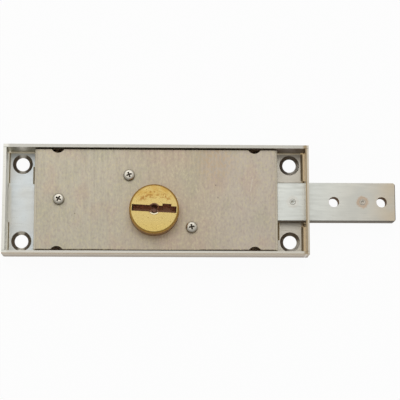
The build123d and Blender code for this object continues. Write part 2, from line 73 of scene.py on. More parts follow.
def add_node(tree, kind, inputs=None, **settings):
    """One node of a shader or geometry tree. An input takes a value, a socket or a node's first output."""
    node = tree.nodes.new(kind)
    for name, value in settings.items():
        setattr(node, name, value)
    for key, value in (inputs or {}).items():
        source = value.outputs[0] if isinstance(value, bpy.types.Node) else value
        if isinstance(source, bpy.types.NodeSocket):
            tree.links.new(source, node.inputs[key])
        else:
            node.inputs[key].default_value = source
    return node


def calc(tree, operation, first, second=0.0):
    """One step of arithmetic in a tree, on plain numbers."""
    return add_node(tree, "ShaderNodeMath", {0: first, 1: second}, operation=operation).outputs[0]


def product(tree, number, *others):
    """Plain numbers multiplied in a tree."""
    for other in others:
        number = calc(tree, "MULTIPLY", number, other)
    return number


def mixed(tree, share, first, second):
    """A colour between two others, by that share of the second."""
    return add_node(tree, "ShaderNodeMix", {0: share, 6: first, 7: second}, data_type="RGBA").outputs[2]


def tint(red, green, blue):
    """A colour given as it is seen, from 0 to 255, turned into the linear values that a shader takes."""
    seen = [part / 255 for part in (red, green, blue)]
    linear = [part / 12.92 if part <= 0.04045 else ((part + 0.055) / 1.055) ** 2.4 for part in seen]
    return (*linear, 1)


class Finish:
    """A surface finish under construction: its patterns all read the piece's own coordinates."""

    def __init__(self, name):
        self.material = bpy.data.materials.new(name)
        self.material.use_nodes = True
        self.tree = self.material.node_tree
        self.shader = self.tree.nodes["Principled BSDF"]
        self.place = add_node(self.tree, "ShaderNodeTexCoord").outputs["Object"]
        split = add_node(self.tree, "ShaderNodeSeparateXYZ", {0: self.place})
        self.x, self.y, self.z = split.outputs

    def grain(self, size, stretch=(1, 1, 1), detail=3):
        """Noise from 0 to 1, with features of about that size in metres."""
        place = add_node(self.tree, "ShaderNodeMapping", {"Vector": self.place, "Scale": stretch})
        settings = {"Vector": place, "Scale": 1 / size, "Detail": detail}
        return add_node(self.tree, "ShaderNodeTexNoise", settings).outputs[0]

    def step(self, value, low, high, first=0.0, last=1.0):
        """A smooth step from the first to the last value, as the input goes from low to high."""
        settings = {"Value": value, "From Min": low, "From Max": high, "To Min": first, "To Max": last}
        return add_node(self.tree, "ShaderNodeMapRange", settings, interpolation_type="SMOOTHSTEP").outputs[0]

    def math(self, operation, first, second=0.0):
        return calc(self.tree, operation, first, second)

    def product(self, share, *others):
        """Shares multiplied: where all these patterns hold at once."""
        return product(self.tree, share, *others)

    def off(self, value, place):
        """How far a value lies off a place, to either side."""
        return self.math("ABSOLUTE", self.math("SUBTRACT", value, place))

    def away(self, x, y):
        """Distance across the piece from an upright line at that place."""
        across = add_node(self.tree, "ShaderNodeCombineXYZ", {0: self.x, 1: self.y})
        far = add_node(self.tree, "ShaderNodeVectorMath", {0: across, 1: (x, y, 0)}, operation="DISTANCE")
        return far.outputs["Value"]

    def mix(self, share, first, second):
        return mixed(self.tree, share, first, second)

    def close(self, colour, roughness, relief, depth, metallic=1.0):
        """Joins the patterns to the shader. Depth is the real height of the relief, in metres."""
        bump = add_node(self.tree, "ShaderNodeBump", {"Height": relief, "Distance": depth, "Strength": 1.0})
        self.tree.links.new(colour, self.shader.inputs["Base Color"])
        self.tree.links.new(roughness, self.shader.inputs["Roughness"])
        self.tree.links.new(bump.outputs[0], self.shader.inputs["Normal"])
        if isinstance(metallic, bpy.types.NodeSocket):
            self.tree.links.new(metallic, self.shader.inputs["Metallic"])
        else:
            self.shader.inputs["Metallic"].default_value = metallic
        return self.material


case_low, case_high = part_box("case_tray")
cover_low, cover_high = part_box("cover_plate")
MM = 0.001  # in the metres that Blender takes
wall_thickness = 0.0016
upper_face, right_face = case_high[1] - wall_thickness, case_high[0] - wall_thickness
holes = frame["record"]["mounts"][0]["dims"]
hole_x, hole_y = holes["spacing_x_mm"] * MM / 2, holes["spacing_y_mm"] * MM / 2
sink_radius = 0.00515


def nearest_hole(tree, x, y):
    """Distance from the nearest fixing hole, the part of it along X, and the part towards the lower right."""
    side = product(tree, calc(tree, "SIGN", x), hole_x)
    end = product(tree, calc(tree, "SIGN", y), hole_y)
    right, up = calc(tree, "SUBTRACT", x, side), calc(tree, "SUBTRACT", y, end)
    place = add_node(tree, "ShaderNodeCombineXYZ", {0: right, 1: up})
    away = add_node(tree, "ShaderNodeVectorMath", {0: place}, operation="LENGTH").outputs["Value"]
    return away, calc(tree, "ABSOLUTE", right), calc(tree, "SUBTRACT", right, up)


def zinc_sheet():
    """Plated sheet: bluish where it lies flat and open, cream along the walls, painted shade in the corners.
    """
    zinc = Finish("zinc_plated_sheet")
    patches = zinc.step(zinc.grain(0.022, detail=2), 0.40, 0.62)
    right = zinc.step(zinc.x, 0.02, 0.06)
    warm = zinc.math("MAXIMUM", zinc.product(patches, 0.35), zinc.product(right, 0.8))
    colour = zinc.mix(warm, tint(222, 228, 229), tint(218, 209, 191))

    # Walls: cream; greyer on the upper rim, partly its own tone and partly painted shade; browner at the
    # right end, painted shade; paler at the left one, painted light.
    wall = zinc.step(zinc.z, 0.0020, 0.0032)
    colour = zinc.mix(zinc.product(wall, 0.85), colour, tint(222, 216, 202))
    # Partly painted shade: the upper rim greyer, to tone down the light it catches.
    upper_rim = zinc.product(zinc.step(zinc.y, upper_face - 0.0002, upper_face + 0.0002), wall)
    colour = zinc.mix(zinc.product(upper_rim, 0.8), colour, tint(197, 195, 186))
    below_rim = zinc.step(zinc.z, case_high[2] - 0.0002, case_high[2] - 0.0006)
    inner_half = zinc.step(zinc.x, case_high[0] - 0.0007, case_high[0] - 0.0011)
    browner = zinc.math("MAXIMUM", below_rim, inner_half)
    # Painted shade: the right end wall browner inside and on the inner half of its rim.
    right_end = zinc.mix(browner, tint(216, 208, 192), tint(172, 152, 120))
    end_begins, end_whole = 0.0740, 0.0756
    colour = zinc.mix(zinc.step(zinc.x, end_begins, end_whole), colour, right_end)
    outer_skin = zinc.step(zinc.x, case_high[0] - 0.0006, case_high[0] - 0.0002)
    colour = zinc.mix(outer_skin, colour, tint(206, 196, 178))
    # Painted light: the left end wall paler.
    colour = zinc.mix(zinc.step(zinc.x, -end_begins, -end_whole), colour, tint(234, 232, 222))

    # Long walls: painted shade on the lower one outside, browner towards its foot, and on the upper
    # one inside, with painted highlights near the left hole and along the upper wall's bend.
    # Painted shade: the lower wall's outside browner, darkest at its foot.
    outside = zinc.step(zinc.y, case_low[1] + 0.0006, case_low[1] + 0.0002)
    foot_shade = zinc.step(zinc.z, 0.0135, 0.0040)
    colour = zinc.mix(outside, colour, zinc.mix(foot_shade, tint(184, 168, 143), tint(138, 119, 95)))
    # Painted shade inside the upper wall, lifted by a painted highlight near the left hole.
    at_upper_face = zinc.step(zinc.y, upper_face - 0.0006, upper_face - 0.0003)
    inside_upper = zinc.step(zinc.y, case_high[1] - 0.0008, case_high[1] - 0.0012)
    glow = zinc.step(zinc.away(-hole_x, case_high[1]), 0.0045, 0.0005, 0.0, 0.75)
    shade = zinc.product(at_upper_face, wall, inside_upper, below_rim, zinc.math("SUBTRACT", 1.0, glow))
    shade_tone = zinc.mix(right, tint(150, 142, 112), tint(118, 94, 70))
    colour = zinc.mix(zinc.product(shade, 0.8), colour, shade_tone)
    # Painted highlight: a cream line along the upper wall's bend at the floor.
    fold_highlight = zinc.step(zinc.y, upper_face - 0.0010, upper_face - 0.0006)
    fold_highlight = zinc.product(fold_highlight, zinc.step(zinc.z, 0.0026, 0.0021), 0.8)
    colour = zinc.mix(fold_highlight, colour, tint(244, 232, 204))

    # Countersinks: pale as painted light, and dark as painted shade on the sides turned away from the light.
    from_hole, sideways, lower_right = nearest_hole(zinc.tree, zinc.x, zinc.y)
    sunk = zinc.step(from_hole, sink_radius + 0.00003, sink_radius - 0.00008)
    sunk = zinc.product(sunk, zinc.step(zinc.z, 0.00005, 0.0002))
    dark_left = zinc.step(zinc.math("DIVIDE", sideways, from_hole), 0.15, 0.55, 0.15, 0.9)
    dark_right = zinc.step(zinc.math("DIVIDE", lower_right, from_hole), 0.3, 1.2, 0.9, 0.2)
    dark = add_node(zinc.tree, "ShaderNodeMix", {0: right, 2: dark_left, 3: dark_right}).outputs[0]
    colour = zinc.mix(sunk, colour, tint(248, 244, 234))
    colour = zinc.mix(zinc.product(sunk, dark), colour, tint(88, 72, 54))

    # Under the cover: a warm, dull tone, pale as painted light where little light gets in.
    from_middle = zinc.math("ABSOLUTE", zinc.x)
    lit_under_cover = zinc.step(from_middle, cover_high[0] - 0.0004, cover_high[0] - 0.0010, 0.0, 0.85)
    off_floor = zinc.step(zinc.z, 0.0008, 0.0014)
    below_cover = zinc.step(zinc.z, 0.0105, 0.0085)
    inside = zinc.step(zinc.math("ABSOLUTE", zinc.y), case_high[1] - 0.0008, case_high[1] - 0.0012)
    lit_under_cover = zinc.product(lit_under_cover, off_floor, below_cover, inside)
    colour = zinc.mix(lit_under_cover, colour, tint(240, 204, 164))

    # Rolling marks, the glossy end walls, and the pale root of the left one, which is painted light.
    streaks = zinc.grain(0.0012, stretch=(0.12, 1, 1), detail=5)
    specks = zinc.grain(0.0005, detail=4)
    marks = zinc.math("ADD", zinc.product(streaks, 0.6), zinc.product(specks, 0.4))
    colour = zinc.mix(zinc.step(marks, 0.44, 0.32, 0.0, 0.40), colour, tint(150, 140, 120))
    end_face = zinc.step(zinc.off(from_middle, right_face), 0.0003, 0.0002, 0.0, 0.6)
    mirror = zinc.product(end_face, below_rim, zinc.step(zinc.x, -0.01, 0.01, 0.15, 1.0))
    rolled = zinc.step(marks, 0.3, 0.7, 0.33, 0.44)
    roughness = zinc.product(rolled, zinc.math("SUBTRACT", 1.0, mirror))
    # Painted light: the root of the left end wall, pale and less metallic.
    left_wall = zinc.step(zinc.x, -0.0735, -0.0755)
    inner_skin = zinc.step(zinc.x, case_low[0] + 0.0008, case_low[0] + 0.0012)
    above_back = zinc.step(zinc.z, 0.0004, 0.0010)
    root = zinc.product(zinc.step(zinc.y, 0.0090, 0.0075), zinc.step(zinc.y, -0.0130, -0.0115))
    pale_root_light = zinc.product(left_wall, inner_skin, below_rim, above_back, root)
    colour = zinc.mix(pale_root_light, colour, tint(252, 250, 240))

    dull = zinc.product(shade, right, 0.6)
    roughness = zinc.math("MAXIMUM", roughness, dull)
    matt = zinc.math("MAXIMUM", zinc.product(lit_under_cover, 0.65), zinc.product(pale_root_light, 0.7))
    metallic = zinc.math("SUBTRACT", zinc.math("SUBTRACT", 0.7, matt), zinc.product(dull, 0.8))
    return zinc.close(colour, roughness, marks, depth=0.000025, metallic=metallic)


def shade_curves(tree, mesh, limit):
    """Shades faces smooth in a tree, and keeps the edges that bend more than the limit sharp."""
    bend = add_node(tree, "GeometryNodeInputMeshEdgeAngle")
    sharp = add_node(tree, "FunctionNodeCompare", {0: bend, 1: limit}, operation="GREATER_THAN")
    smooth = add_node(tree, "GeometryNodeSetShadeSmooth", {0: mesh, "Shade Smooth": True}, domain="FACE")
    edges = {0: smooth, 1: sharp, "Shade Smooth": False}
    return add_node(tree, "GeometryNodeSetShadeSmooth", edges, domain="EDGE")


def smooth_shading(limit):
    """Tree that gives the curved faces of a solid smooth shading."""
    tree = bpy.data.node_groups.new("smooth_shading", "GeometryNodeTree")
    tree.interface.new_socket("Mesh", in_out="INPUT", socket_type="NodeSocketGeometry")
    angle = tree.interface.new_socket("Sharpest smooth edge", in_out="INPUT", socket_type="NodeSocketFloat")
    angle.default_value = limit
    tree.interface.new_socket("Mesh", in_out="OUTPUT", socket_type="NodeSocketGeometry")
    given = add_node(tree, "NodeGroupInput")
    plain = add_node(tree, "GeometryNodeRemoveAttribute", {0: given, "Name": "custom_normal"})
    add_node(tree, "NodeGroupOutput", {0: shade_curves(tree, plain, given.outputs[1])})
    return tree


sharpest_curve = radians(32)
smoothing = smooth_shading(sharpest_curve)


def dress(name, material, edge):
    """Gives a piece of the frame its finish and breaks its sharp edges by that width."""
    piece = frame["nodes"][name]
    weld = piece.modifiers.new("joined corners", "WELD")
    weld.merge_threshold = 1e-6
    flats = piece.modifiers.new("whole flats", "DECIMATE")
    flats.decimate_type = "DISSOLVE"
    flats.angle_limit = radians(0.3)
    rounded = piece.modifiers.new("broken edges", "BEVEL")
    rounded.width = edge
    rounded.segments = 2
    rounded.limit_method = "ANGLE"
    rounded.angle_limit = sharpest_curve
    shading = piece.modifiers.new("smooth curves", "NODES")
    shading.node_group = smoothing
    piece.modifiers.new("true flats", "WEIGHTED_NORMAL").keep_sharp = True
    piece.data.materials.clear()
    piece.data.materials.append(material)
    return piece


dress("case_tray", zinc_sheet(), 0.00012)

# Posts, pins and bush in the floor.
# Three screw posts and two spring pins are turned from free-cutting steel, and the bush from brass. Each is
# pushed through its hole in the floor, and its thinner end is riveted over, flush with the back.


def turned_metal(name, colour, film_colour, rough):
    """A turned finish: fine rings round each piece, with a thin film of oil."""
    metal = Finish(name)
    rings = metal.grain(0.0006, stretch=(0.15, 0.15, 1.6), detail=4)
    film = metal.grain(0.003, detail=2)
    colour = metal.mix(metal.step(film, 0.35, 0.7, 0.0, 0.6), colour, film_colour)
    roughness = metal.step(rings, 0.3, 0.7, rough, rough + 0.12)
    return metal.close(colour, roughness, rings, depth=0.00001)


post_finish = turned_metal("turned_steel", tint(176, 173, 166), tint(130, 124, 114), 0.28)
bush_finish = turned_metal("turned_brass", tint(206, 176, 108), tint(150, 118, 66), 0.26)
for name in ("left_post", "upper_guide_post", "lower_guide_post", "spring_pins"):
    dress(name, post_finish, 0.0001)
dress("tail_bush", bush_finish, 0.00008)

# Pinion and centre pin.
# Both are hardened steel: the pin is ground and pressed in the bush, and the pinion is milled with eight
# teeth. Two dogs on its end stand in the groove of the rotor's hub, by which the rotor turns it.

hard_finish = turned_metal("hardened_steel", tint(132, 126, 122), tint(84, 74, 70), 0.30)
pin_finish = turned_metal("oiled_pin_steel", tint(132, 98, 82), tint(98, 72, 60), 0.34)
dress("centre_pin", pin_finish, 0.0003)
dress("drive_pinion", hard_finish, 0.00005)

# Bolt.
# A flat steel bar, sheared, milled for the rack, drilled for the lock rods and bright zinc plated. Its face
# has two centre-punch marks, and each has raised a low rim round itself.

bar_low, bar_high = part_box("bolt_bar")
rods = frame["record"]["mounts"][1]
rod_holes = [rods["pos_m"][0] + side * rods["dims"]["spacing_x_mm"] * MM / 2 for side in (-1, 1)]
outer_mark, inner_mark = bar_high[0] - 0.0169, bar_high[0] - 0.0527


def bolt_finish():
    """Bright plating: bluish inside the case, cream at the nose, with a stain round the outer punch mark."""
    bar = Finish("bright_zinc_bar")
    outside = bar.step(bar.x, 0.074, 0.108)
    colour = bar.mix(outside, tint(218, 220, 213), tint(212, 209, 198))
    nose = bar.step(bar.x, 0.104, 0.124)
    colour = bar.mix(bar.product(nose, 0.8), colour, tint(206, 190, 164))
    clouds = bar.step(bar.grain(0.012, detail=2), 0.42, 0.66, 0.0, 0.45)
    colour = bar.mix(clouds, colour, tint(198, 198, 190))

    # Punch marks: a ragged stain, worn off in its middle, and a ring of painted shade where the rim stands.
    ragged = bar.product(bar.math("SUBTRACT", bar.grain(0.0011), 0.5), 0.0022)
    for x, strength in ((outer_mark, 0.8), (inner_mark, 0.15)):
        from_mark = bar.away(x, 0.0)
        stain = bar.step(bar.math("ADD", from_mark, ragged), 0.0037, 0.0024)
        worn_off = bar.step(from_mark, 0.0012, 0.0022, 0.35, 1.0)
        colour = bar.mix(bar.product(stain, worn_off, strength), colour, tint(194, 168, 142))
        # Painted shade: a dark ring at the foot of each raised rim.
        ring_shade = bar.step(bar.off(from_mark, 0.00148), 0.0002, 0.00008, 0.0, 0.5)
        colour = bar.mix(ring_shade, colour, tint(146, 134, 118))

    # Below the face: duller flanks and bores; painted shade on the lower flank, darker towards its foot, and
    # on the dark lower and end edges.
    below = bar.step(bar.z, bar_high[2] - 0.0004, bar_high[2] - 0.0008)
    colour = bar.mix(bar.product(below, 0.7), colour, tint(186, 178, 164))
    flank = bar.product(bar.step(bar.y, bar_low[1] + 0.0003, bar_low[1] + 0.0001), below)
    # Painted shade: the lower flank darker towards its foot.
    foot_shade = bar.step(bar.z, bar_low[2] + 0.0030, bar_low[2] + 0.0012)
    colour = bar.mix(flank, colour, bar.mix(foot_shade, tint(164, 154, 142), tint(112, 102, 92)))
    from_bore = bar.math("MINIMUM", *[bar.away(x, 0.0) for x in rod_holes])
    bore = bar.step(from_bore, 0.00272, 0.00268)
    colour = bar.mix(bore, colour, tint(158, 132, 104))
    # Painted shade along the lower and end edges of the face.
    lower_edge_shade = bar.step(bar.y, bar_low[1] + 0.00055, bar_low[1] + 0.00035)
    lower_edge_shade = bar.product(lower_edge_shade, bar.step(bar.z, bar_high[2] - 0.0008, bar_high[2] - 0.0006))
    end_edge_shade = bar.step(bar.x, bar_high[0] - 0.0005, bar_high[0] - 0.00025)
    edges = bar.product(bar.math("MAXIMUM", lower_edge_shade, end_edge_shade), 0.85)
    colour = bar.mix(edges, colour, tint(88, 78, 70))

    streaks = bar.grain(0.0011, stretch=(0.10, 1, 1), detail=4)
    colour = bar.mix(bar.step(streaks, 0.40, 0.28, 0.0, 0.35), colour, tint(172, 168, 156))
    dull = bar.math("MAXIMUM", bore, flank)
    roughness = bar.math("MAXIMUM", bar.step(streaks, 0.3, 0.7, 0.30, 0.44), bar.product(dull, 0.85))
    metallic = bar.math("SUBTRACT", 1.0, dull)
    return bar.close(colour, roughness, streaks, depth=0.00003, metallic=metallic)


bolt_plating = bolt_finish()
dress("bolt_bar", bolt_plating, 0.0001)


def put_in_scene(name, data):
    """An object of that mesh, light or camera, linked to the scene."""
    item = bpy.data.objects.new(name, data)
    bpy.context.scene.collection.objects.link(item)
    return item


def settled_mesh(piece):
    """The piece's mesh with all its modifiers applied."""
    settled = piece.evaluated_get(bpy.context.evaluated_depsgraph_get())
    return bpy.data.meshes.new_from_object(settled)


def new_tree(name, sizes):
    """A geometry tree with a named input for each size, and what those inputs give inside it."""
    tree = bpy.data.node_groups.new(name, "GeometryNodeTree")
    tree.interface.new_socket("Places", in_out="INPUT", socket_type="NodeSocketGeometry")
    for label, size in sizes.items():
        tree.interface.new_socket(label, in_out="INPUT", socket_type="NodeSocketFloat").default_value = size
    tree.interface.new_socket("Finish", in_out="INPUT", socket_type="NodeSocketMaterial")
    tree.interface.new_socket("Result", in_out="OUTPUT", socket_type="NodeSocketGeometry")
    given = add_node(tree, "NodeGroupInput")
    return tree, {socket.name: socket for socket in given.outputs if socket.name}


def lathe(tree, around, along, shape):
    """A skin bent round the Z axis. The shape gives its radius and height from its share of the turn and of
    the way along."""
    size = {"Size X": 1.0, "Size Y": 1.0, "Vertices X": around + 1, "Vertices Y": along + 1}
    grid = add_node(tree, "GeometryNodeMeshGrid", size)
    corner = add_node(tree, "GeometryNodeInputPosition")
    flat = add_node(tree, "ShaderNodeSeparateXYZ", {0: corner})
    turn, way = calc(tree, "ADD", flat.outputs[0], 0.5), calc(tree, "ADD", flat.outputs[1], 0.5)
    radius, height = shape(turn, way)
    angle = product(tree, turn, 2 * pi)
    across = [product(tree, radius, calc(tree, part, angle)) for part in ("COSINE", "SINE")]
    place = add_node(tree, "ShaderNodeCombineXYZ", {0: across[0], 1: across[1], 2: height})
    bent = add_node(tree, "GeometryNodeSetPosition", {"Geometry": grid, "Position": place})
    seam = {"Geometry": bent, "Distance": 4e-6}
    return add_node(tree, "GeometryNodeMergeByDistance", seam).outputs[0]


def at_each_place(tree, given, piece, limit):
    """Ends a tree: the piece stands at every place, turned by that place's own angle."""
    turn = add_node(tree, "GeometryNodeInputNamedAttribute", {"Name": "turn"}, data_type="FLOAT")
    angles = add_node(tree, "ShaderNodeCombineXYZ", {2: turn})
    rotation = add_node(tree, "FunctionNodeEulerToRotation", {0: angles})
    setting = {"Points": given["Places"], "Instance": piece, "Rotation": rotation}
    copies = add_node(tree, "GeometryNodeInstanceOnPoints", setting)
    real = add_node(tree, "GeometryNodeRealizeInstances", {0: copies})
    shaded = shade_curves(tree, real, limit)
    finish = add_node(tree, "GeometryNodeSetMaterial", {0: shaded, "Material": given["Finish"]})
    add_node(tree, "NodeGroupOutput", {0: finish})


def grown(name, tree, places, turns, finish):
    """Grows a tree at the places and returns the result as one plain mesh."""
    seeds = bpy.data.meshes.new(name + "_places")
    seeds.from_pydata(places, [], [])
    seeds.attributes.new("turn", "FLOAT", "POINT").data.foreach_set("value", turns)
    carrier = put_in_scene(name + "_places", seeds)
    modifier = carrier.modifiers.new("growth", "NODES")
    modifier.node_group = tree
    sockets = {item.name: item.identifier for item in tree.interface.items_tree if item.in_out == "INPUT"}
    modifier[sockets["Finish"]] = finish
    mesh = settled_mesh(carrier)
    mesh.name = name
    carrier.modifiers.remove(modifier)
    bpy.data.objects.remove(carrier)
    return put_in_scene(name, mesh)


def raised_rims():
    """Low uneven rims of swaged metal, one round each punch mark."""
    sizes = {"Rim radius": 0.00108, "Half width": 0.00032, "Height": 0.00014, "Unevenness": 0.9}
    tree, given = new_tree("raised_rims", sizes)

    def rim(turn, way):
        swing = product(tree, way, pi)
        out = product(tree, given["Half width"], calc(tree, "COSINE", swing))
        around = product(tree, turn, 2 * pi)
        circle = {0: calc(tree, "COSINE", around), 1: calc(tree, "SINE", around)}
        circle = add_node(tree, "ShaderNodeCombineXYZ", circle)
        uneven = add_node(tree, "ShaderNodeTexNoise", {"Vector": circle, "Scale": 1.7, "Detail": 1.0})
        swell = product(tree, calc(tree, "SUBTRACT", uneven, 0.5), given["Unevenness"])
        height = product(tree, given["Height"], calc(tree, "ADD", swell, 1.0), calc(tree, "SINE", swing))
        return calc(tree, "ADD", given["Rim radius"], out), height

    at_each_place(tree, given, lathe(tree, 36, 6, rim), radians(50))
    return tree


rim_foot = bar_high[2] - 0.00001
rim_places = [(x, 0, rim_foot) for x in (outer_mark, inner_mark)]
rim_turns = [0.0, 2.0]
rims = grown("punch_rims", raised_rims(), rim_places, rim_turns, bolt_plating)
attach(rims, "bolt")

# Bolt spring.
# A strip of blued spring steel bent round the inner pin. Its hump clicks into the notches in the bolt's
# upper edge at both ends of the throw.

spring_finish = turned_metal("spring_steel", tint(96, 96, 102), tint(62, 58, 62), 0.30)
dress("bolt_spring", spring_finish, 0.00006)

# Tumbler housing.
# A zinc-alloy pressure casting, clamped between two posts and the cover by the cover's screws. It carries
# the rotor's lower disc and holds the tumbler plates.


def casting():
    """Bare cast alloy: grey clouds and a fine, rough skin."""
    alloy = Finish("cast_zinc_alloy")
    skin = alloy.grain(0.0008, detail=6)
    clouds = alloy.step(alloy.grain(0.008, detail=2), 0.35, 0.7)
    colour = alloy.mix(clouds, tint(150, 150, 152), tint(122, 122, 122))
    return alloy.close(colour, alloy.step(skin, 0.3, 0.7, 0.42, 0.6), skin, depth=0.00006)


dress("tumbler_housing", casting(), 0.0001)

# Tumbler plates and their springs.
# Three plates blanked from thin steel, tumbled to take off the burr, each pushed towards the bolt's nose by
# a bow of flat spring steel. A nib on each enters the end of the key slot until the key lifts it clear.

plate_finish = turned_metal("tumbled_steel", tint(170, 170, 166), tint(140, 136, 130), 0.34)
for count in (1, 2, 3):
    dress(f"tumbler_plate_{count}", plate_finish, 0.00005)
    spring = dress(f"tumbler_spring_{count}", spring_finish, 0.00004)
    bow = put_in_scene(f"tumbler_bow_{count}", settled_mesh(spring))
    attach(bow, "case")
    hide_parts(spring.name)
    bow_low, bow_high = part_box(spring.name)
    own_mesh(bow)

# Rotor.
# Turned from one brass bar, faced, and broached for the key. The face stays bright, the side and the slot
# are dull and brown.


def rotor_brass():
    """Turned brass: rings on the face, tarnish towards the upper edge, brown side and slot."""
    brass = Finish("turned_brass_rotor")
    rotor_low, rotor_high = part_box("rotor")
    axis_x, axis_y = (rotor_low[0] + rotor_high[0]) / 2, (rotor_low[1] + rotor_high[1]) / 2
    out = brass.away(axis_x, axis_y)
    above = brass.math("SUBTRACT", brass.y, axis_y)
    upper = brass.step(above, 0.0035, 0.0085)
    clouds = brass.step(brass.grain(0.003), 0.35, 0.65, 0.35, 1.0)
    colour = brass.mix(brass.product(upper, clouds), tint(210, 186, 120), tint(196, 160, 88))
    lower = brass.step(above, -0.0045, -0.0100, 0.0, 0.55)
    colour = brass.mix(lower, colour, tint(214, 186, 108))

    # The side, brown and with streaks round it from the tool.
    below_face = brass.step(brass.z, rotor_high[2] - 0.00002, rotor_high[2] - 0.0001)
    skin = brass.step(out, 0.0114, 0.0117)
    colour = brass.mix(brass.product(below_face, skin, 0.85), colour, tint(176, 132, 62))
    side = brass.product(skin, brass.step(brass.z, rotor_high[2] - 0.0006, rotor_high[2] - 0.0012))
    streaks = brass.step(brass.grain(0.0006, stretch=(0.12, 0.12, 1.3)), 0.40, 0.62)
    colour = brass.mix(side, colour, brass.mix(streaks, tint(205, 153, 70), tint(184, 133, 60)))

    # The slot and its round middle: paler in the bore as painted light, with a bright arc of painted
    # highlight and a dark line of painted shade low on its edge.
    # Painted highlight: a bright arc low on the bore's edge.
    highlight_arc = brass.product(brass.step(out, 0.0021, 0.0023), brass.step(above, -0.0016, -0.0021))
    highlight_arc = brass.product(highlight_arc, brass.step(out, 0.0032, 0.0030))
    slot = brass.product(below_face, brass.step(out, 0.0115, 0.0113), brass.math("SUBTRACT", 1.0, highlight_arc))
    # Painted light: the bored middle paler than the slot.
    bore_light = brass.step(out, 0.0024, 0.0022)
    colour = brass.mix(slot, colour, brass.mix(bore_light, tint(172, 132, 106), tint(214, 174, 146)))
    colour = brass.mix(highlight_arc, colour, tint(250, 240, 206))
    # Painted shade: a dark line low on the bore's edge.
    shade_line = brass.step(brass.off(out, 0.00305), 0.00022, 0.0001, 0.0, 0.8)
    shade_line = brass.product(shade_line, brass.step(above, -0.0013, -0.0018))
    colour = brass.mix(shade_line, colour, tint(140, 98, 48))

    # Turning rings, small spots, and tarnish in an arc above the middle.
    rings_per_metre = 2600.0
    rings = {"W": brass.product(out, rings_per_metre), "Scale": 1.0}
    turning = add_node(brass.tree, "ShaderNodeTexNoise", rings, noise_dimensions="1D").outputs[0]
    specks = brass.grain(0.0007, detail=4)
    spots = brass.product(brass.step(specks, 0.40, 0.30, 0.0, 0.55), brass.math("SUBTRACT", 1.0, side))
    colour = brass.mix(spots, colour, tint(150, 108, 50))
    tarnish = brass.step(brass.grain(0.0011, detail=4), 0.51, 0.60, 0.0, 0.75)
    band = brass.step(brass.off(out, 0.0074), 0.0026, 0.0012)
    band = brass.product(band, brass.step(above, 0.0030, 0.0052))
    colour = brass.mix(brass.product(tarnish, band), colour, tint(160, 108, 46))
    relief = brass.math("ADD", turning, brass.product(specks, 0.8))
    roughness = brass.step(relief, 0.5, 1.3, 0.24, 0.40)
    return brass.close(colour, roughness, relief, depth=0.000012)


dress("rotor", rotor_brass(), 0.00015)

# Cover plate.
# 1.5 mm steel sheet with a warm matt plating, folded down at both ends. Its tenons hook in the floor, and
# three screws hold it.


